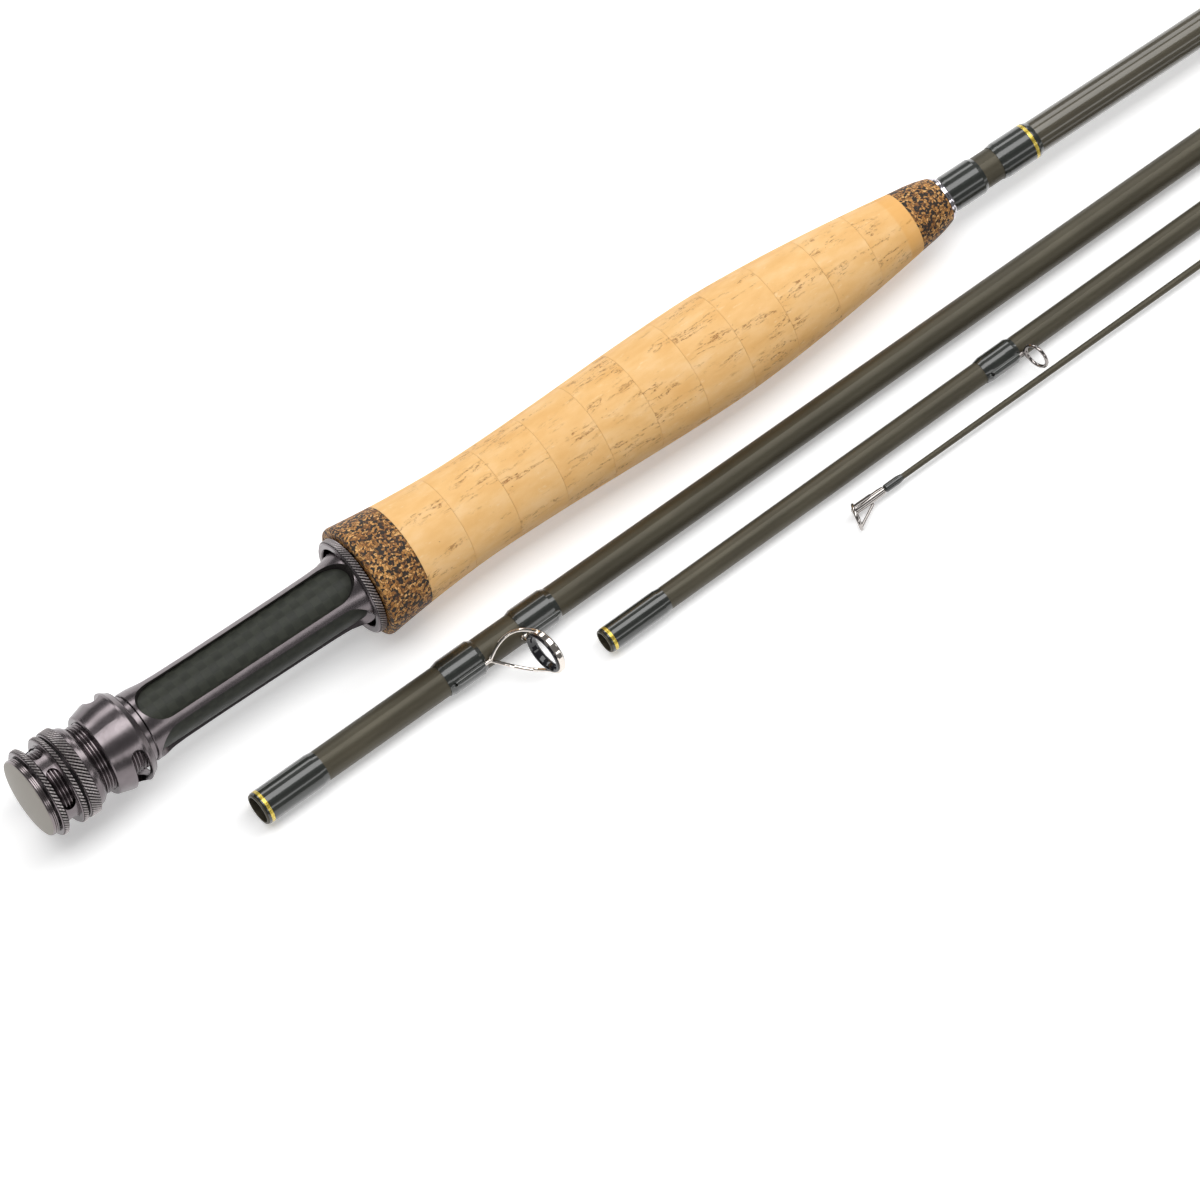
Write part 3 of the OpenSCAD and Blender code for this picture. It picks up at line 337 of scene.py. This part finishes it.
def burl_cork(name):
    """Composite cork: pressed granules of tan, brown and near black."""
    m = Mat(name)
    v = m.coords(BUTT)[0]
    jit = m.noise(v, 1.6, 3)
    q = m.wobbled(v, 1.1, 1.1)
    granules = 1.8  # per mm
    big = m.voronoi(q, granules)
    edge = m.voronoi(q, granules, "DISTANCE_TO_EDGE")
    pick = m.node("ShaderNodeSeparateXYZ")
    m.link(big.outputs["Color"], pick.inputs[0])
    tone = m.add(m.mul(pick.outputs[0], 0.72), m.mul(m.noise(v, 0.55, 3), 0.36))
    col = m.ramp(tone, [(0.0, (0.014, 0.012, 0.010)), (0.40, (0.020, 0.014, 0.010)),
                        (0.45, (0.17, 0.062, 0.015)), (0.58, (0.42, 0.18, 0.042)),
                        (0.74, (0.62, 0.30, 0.08)), (0.95, (0.88, 0.52, 0.19))])
    dark = m.ramp_f(edge.outputs["Distance"], 0.02, 0.11, 0.85, 0.0)
    col = m.mix(dark, col, (0.035, 0.017, 0.008, 1))
    speck = m.noise(v, 4.0, 4, 0.7)
    col = m.mix(m.ramp_f(speck, 0.56, 0.7, 0.0, 0.5), col, (0.05, 0.025, 0.012, 1))
    m.set(color=col, rough=0.55, spec=0.4)
    m.bump(m.sub(m.mul(jit, 0.2), dark), 0.12, 0.5)
    return m.m


def blank_material(name, where, gloss_from=None, gloss_to=None):
    """Olive-brown painted carbon tube, satin, with a clear-coated stretch on the butt section."""
    m = Mat(name)
    _, u, ang, rad = m.coords(where)
    cloud = m.noise(m.vec(m.mul(u, 0.05), m.mul(ang, 0.8), 0.0), 1.0, 3)
    fine = m.noise(m.vec(u, m.mul(ang, rad), 0.0), 5.0, 4)
    dark, light = (0.062, 0.053, 0.033, 1), (0.080, 0.069, 0.044, 1)
    m.set(color=m.mix(m.ramp_f(cloud, 0.3, 0.7), dark, light), metal=0.35, spec=0.5)
    rough = m.add(0.40, m.mul(fine, 0.08))
    if gloss_from is not None:
        begin = m.ramp_f(u, gloss_from, gloss_from + 0.4)
        on = m.mul(begin, m.ramp_f(u, gloss_to, gloss_to + 1.5, 1.0, 0.0))
        m.link(on, m.p.inputs["Coat Weight"])
        m.set(coat_rough=0.06)
        rough = m.sub(rough, m.mul(on, 0.05))
    m.set(rough=rough)
    m.bump(fine, 0.008, 0.5)
    return m.m


def wrap_material(name, where):
    """Black-green thread under clear varnish: a fine thread pitch seen through a wet gloss."""
    m = Mat(name)
    v, u, _, _ = m.coords(where)
    thread = m.math("SINE", m.mul(u, 2 * math.pi / 0.18))
    swell = m.noise(v, 0.35, 2)
    f = m.add(m.mul(thread, 0.25), m.mul(swell, 0.8))
    m.set(color=m.ramp(f, [(0.1, (0.008, 0.010, 0.008)), (0.9, (0.020, 0.024, 0.018))]), rough=0.30,
          coat=1.0, coat_rough=0.03, spec=0.5)
    m.bump(m.add(m.mul(thread, 0.05), swell), 0.03, 0.25)
    return m.m


def gold_material(name, where):
    """Metallic thread of the trim bands under varnish."""
    m = Mat(name)
    v, u, ang, _ = m.coords(where)
    thread = m.math("SINE", m.add(m.mul(u, 2 * math.pi / 0.2), ang))
    spark = m.noise(v, 5.0, 3)
    dark, light = (0.50, 0.33, 0.02, 1), (0.95, 0.78, 0.16, 1)
    m.set(color=m.mix(m.ramp_f(spark, 0.4, 0.65), dark, light), metal=0.8, rough=0.32,
          coat=0.6, coat_rough=0.05)
    m.bump(m.add(thread, spark), 0.02, 0.6)
    return m.m


def wire_material(name, where, color, rough):
    """Polished or darkened wire and small turned metal."""
    m = Mat(name)
    v = m.coords(where)[0]
    grain = m.noise(v, 6.0, 3)
    dark = [c * 0.85 for c in color]
    m.set(color=m.mix(m.ramp_f(grain, 0.3, 0.7), (*dark, 1), (*color, 1)), metal=1.0)
    m.set(rough=m.add(rough, m.mul(grain, 0.06)))
    m.bump(grain, 0.005, 0.4)
    return m.m


def simple(name, where, color, rough, spec=0.5, scale=3.0, dist=0.02):
    """A plain non-metal with a little grain."""
    m = Mat(name)
    v = m.coords(where)[0]
    g = m.noise(v, scale, 4)
    dark = [c * 0.8 for c in color]
    m.set(color=m.mix(m.ramp_f(g, 0.3, 0.7), (*dark, 1), (*color, 1)), rough=rough, spec=spec)
    m.bump(g, dist, 0.5)
    return m.m


def paint(node, mat):
    """Give a CAD node its one material."""
    me = nodes[node].data
    me.materials.clear()
    me.materials.append(mat)


cork_nodes = ["cork_ring_%d" % (i + 1) for i in range(CORK_RINGS)]
half_gap = 0.025  # half of the glue line between two rings, mm
cork_start = profile(cork_nodes[0], BUTT)[0][0] - half_gap
cork_pitch = (profile(cork_nodes[-1], BUTT)[-1][0] + half_gap - cork_start) / CORK_RINGS
band_end = profile("butt_trim_band", BUTT)[-1][0]

metal = gunmetal()
paint("end_cap", cap_material())
for n in ("threaded_barrel", "rear_lock_nut", "front_lock_nut", "sliding_hood", "seat_frame",
          "fixed_hood"):
    paint(n, metal)
paint("nut_washer", simple("washer_nylon", BUTT, (0.02, 0.02, 0.02), 0.45))
paint("seat_insert", carbon_insert())
for n in ("arbor_rear", "arbor_front"):
    paint(n, simple("arbor_foam", BUTT, (0.62, 0.52, 0.36), 0.8, 0.2, 2.0, 0.2))
cork = natural_cork(cork_start, cork_pitch)
for n in cork_nodes:
    paint(n, cork)
burl = burl_cork("burl_cork")
for n in ("rear_burl_ring", "front_burl_ring"):
    paint(n, burl)
paint("winding_check", wire_material("check_metal", BUTT, (0.72, 0.69, 0.74), 0.06))
SECTIONS = {"butt": BUTT, "mid1": MID1, "mid2": MID2, "tip": TIP}
wraps = {k: wrap_material("wrap_" + k, where) for k, where in SECTIONS.items()}
golds = {k: gold_material("gold_" + k, where) for k, where in SECTIONS.items()}
wrapped = {"butt": ("keeper_wrap_rear", "keeper_wrap_front"),
           "mid1": ("mid1_ferrule_wrap", "stripper_wraps", "mid1_guide_wraps"),
           "mid2": ("mid2_ferrule_wrap", "mid2_guide_wraps"),
           "tip": ("tip_ferrule_wrap", "tip_guide_wraps", "tip_top_wrap")}
for k in SECTIONS:
    for n in wrapped[k]:
        paint(n, wraps[k])
    paint(k + "_trim_band", golds[k])
gloss_length = 150  # mm, from the trim band
paint("butt_blank", blank_material("blank_butt", BUTT, band_end, band_end + gloss_length))
for k in ("mid1", "mid2", "tip"):
    paint(k + "_blank", blank_material("blank_" + k, SECTIONS[k]))
paint("hook_keeper", wire_material("bright_butt", BUTT, (0.78, 0.75, 0.72), 0.07))
paint("stripper_frame", wire_material("bright_mid1", MID1, (0.82, 0.76, 0.70), 0.06))
paint("tip_top", wire_material("bright_tip", TIP, (0.45, 0.42, 0.40), 0.10))
paint("stripper_ring", simple("ceramic", MID1, (0.012, 0.012, 0.015), 0.06, 0.6, 1.0, 0.002))
for sec, count in (("mid1", 2), ("mid2", 4), ("tip", 5)):
    wire = wire_material("guide_wire_" + sec, SECTIONS[sec], (0.34, 0.31, 0.30), 0.10)
    for i in range(count):
        paint("%s_guide_%d" % (sec, i + 1), wire)

SHARP = math.radians(32)
for o in nodes.values():
    o.data.shade_smooth()
    o.data.set_sharp_from_angle(angle=SHARP)


# ---------------------------------------------------------------- knurled sleeves
def knurl_metal(name, r, depth):
    """Knurled band: painted highlight on the crests, painted shade down in the grooves."""
    m = Mat(name)
    v, _, _, rad = m.coords(BUTT)
    # painted light: by radius, the crests are coloured bright as a highlight and the grooves near
    # black as shade
    painted_light_mask = m.ramp_f(rad, r + 0.15 * depth, r + 0.85 * depth)
    grain = m.noise(v, 3.0, 3)
    painted_light_mask = m.mul(painted_light_mask, m.add(0.7, m.mul(grain, 0.5)))
    m.set(color=m.mix(painted_light_mask, (0.022, 0.018, 0.019, 1), (0.50, 0.46, 0.46, 1)), metal=1.0, rough=0.3)
    m.bump(grain, 0.01, 0.4)
    return m.m


def knurl(name, body, u0, u1, r, teeth, depth, lean=0.9):
    """A closed sleeve of slanted knurling that stands on a plain land of radius r."""
    rot, origin = BUTT
    per = 8        # points round one tooth
    sunk = 0.12    # of the sleeve's inner face, below the land
    proud = 0.004  # of the grooves, above the land
    run_out = 1.6  # steps over which the teeth fade at each end
    nt = teeth * per
    pitch = 2 * math.pi * r / teeth
    nu = max(6, int(round((u1 - u0) / pitch * per)))
    verts, faces = [], []
    for j in range(nu + 1):
        u = u0 + (u1 - u0) * j / nu
        fade = min(1.0, min(j, nu - j) / run_out)
        for i in range(nt):
            a = 2 * math.pi * i / nt
            s = a * r / pitch
            d = (u - u0) / pitch * lean
            t1 = abs(((s + d) % 1.0) * 2 - 1)
            t2 = abs(((s - d) % 1.0) * 2 - 1)
            # the second hand is only nicked across the first
            h = depth * min(1.0, 1.3 * (1 - t1) * (1 - 0.3 * t2)) * fade
            rr = r + proud + h
            verts.append((u, rr * math.sin(a), rr * math.cos(a)))
    for j in range(nu):
        for i in range(nt):
            k = (i + 1) % nt
            faces.append((j * nt + i, j * nt + k, (j + 1) * nt + k, (j + 1) * nt + i))
    base = len(verts)
    for u in (u0, u1):
        for i in range(nt):
            a = 2 * math.pi * i / nt
            verts.append((u, (r - sunk) * math.sin(a), (r - sunk) * math.cos(a)))
    top = nu * nt
    for i in range(nt):
        k = (i + 1) % nt
        faces.append((i, base + i, base + k, k))
        faces.append((top + i, top + k, base + nt + k, base + nt + i))
        faces.append((base + i, base + nt + i, base + nt + k, base + k))
    me = bpy.data.meshes.new(name)
    me.from_pydata([tuple(origin + rot @ Vector(p) * MM) for p in verts], [], faces)
    me.update()
    me.validate()
    ob = bpy.data.objects.new(name, me)
    scene.collection.objects.link(ob)
    face_outwards(me)
    me.materials.append(knurl_metal(name + "_metal", r, depth))
    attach(ob, body)


def face_outwards(me):
    """Turn every face of a closed mesh outwards."""
    bm = bmesh.new()
    bm.from_mesh(me)
    bmesh.ops.recalc_face_normals(bm, faces=bm.faces)
    bm.to_mesh(me)
    bm.free()


def lands(node):
    """Where a turned node has its largest radius, and that radius."""
    p = profile(node, BUTT)
    big = max(r for _, r in p)
    flat = 0.02  # mm
    return [u for u, r in p if r > big - flat], big


nut_teeth, nut_depth = 72, 0.34
us, big = lands("rear_lock_nut")
mid_nut = (us[0] + us[-1]) / 2
rear = [u for u in us if u < mid_nut]
fore = [u for u in us if u > mid_nut]
knurl("knurl_rear_a", "rear_nut", rear[0], rear[-1], big, nut_teeth, nut_depth)
knurl("knurl_rear_b", "rear_nut", fore[0], fore[-1], big, nut_teeth, nut_depth)
us, big = lands("front_lock_nut")
knurl("knurl_front", "front_nut", us[0], us[-1], big, nut_teeth, nut_depth)
us, big = lands("fixed_hood")
knurl("knurl_collar", "butt_section", us[0], us[-1], big, 92, 0.30, lean=0.8)

# ---------------------------------------------------------------- camera
LENS = 360.0  # mm, on a 36 mm sensor
ELEV = math.radians(64.0)
HEAD = math.radians(53.25)
DIST = 12000 / 4.6 * MM  # a long lens from far off gives the photo's flat perspective
cap_centre = BUTT[1]
view = Vector((math.cos(HEAD) * math.cos(ELEV), math.sin(HEAD) * math.cos(ELEV), -math.sin(ELEV)))
right = Vector((math.sin(HEAD), -math.cos(HEAD), 0.0))
up = right.cross(view)
# the cap sits near the left edge, a little below the middle
side_off = 124.35 * MM
up_off = -43.37 * MM
cam_pos = cap_centre - view * DIST + right * side_off - up * up_off
cam_data = bpy.data.cameras.new("camera")
cam_data.lens = LENS
cam_data.sensor_width = 36.0
cam_data.clip_end = 50.0
cam = bpy.data.objects.new("camera", cam_data)
scene.collection.objects.link(cam)
cam.matrix_world = Matrix.Translation(cam_pos) @ Matrix((right, up, -view)).transposed().to_4x4()
scene.camera = cam

# ---------------------------------------------------------------- floor, light
floor_me = bpy.data.meshes.new("floor")
e = 6.0  # half the floor's side, m
floor_me.from_pydata([(-e, -e, 0), (e, -e, 0), (e, e, 0), (-e, e, 0)], [], [(0, 1, 2, 3)])
floor = bpy.data.objects.new("floor", floor_me)
scene.collection.objects.link(floor)
floor.location.z = -0.2 * MM  # the lowest wraps only just touch it
fm = Mat("floor_white")
fm.set(color=(0.95, 0.95, 0.95), rough=0.9, spec=0.0)
# the backdrop is lifted to white for what the camera, metal and glass see of it
path = fm.node("ShaderNodeLightPath")
seen = fm.math("MAXIMUM", path.outputs["Is Camera Ray"], path.outputs["Is Glossy Ray"])
seen = fm.math("MAXIMUM", seen, path.outputs["Is Transmission Ray"])
fm.p.inputs["Emission Color"].default_value = (1, 1, 1, 1)
lift = 0.30
fm.link(fm.mul(seen, lift), fm.p.inputs["Emission Strength"])
floor_me.materials.append(fm.m)


def area(name, pos, target, size_x, size_y, power):
    """A rectangular soft light whose long side lies along X."""
    d = bpy.data.lights.new(name, "AREA")
    d.shape = "RECTANGLE"
    d.size = size_x
    d.size_y = size_y
    d.energy = power
    o = bpy.data.objects.new(name, d)
    scene.collection.objects.link(o)
    z = (Vector(pos) - Vector(target)).normalized()
    x = Vector((1, 0, 0))
    x = (x - z * x.dot(z)).normalized()
    y = z.cross(x)
    o.matrix_world = Matrix.Translation(pos) @ Matrix((x, y, z)).transposed().to_4x4()
    return o


area("overhead", (0.35, 0.10, 1.45), (0.35, 0.0, 0), 3.4, 0.75, 27)
area("key", (0.35, 1.55, 1.15), (0.3, 0, 0), 3.0, 0.5, 15)
area("front", (0.30, -1.60, 1.0), (0.3, 0, 0), 3.0, 0.35, 7)

world = bpy.data.worlds.new("studio")
scene.world = world
world.use_nodes = True
bg = world.node_tree.nodes["Background"]
bg.inputs[0].default_value = (1, 1, 1, 1)
bg.inputs[1].default_value = 0.17

scene.view_settings.view_transform = "Standard"
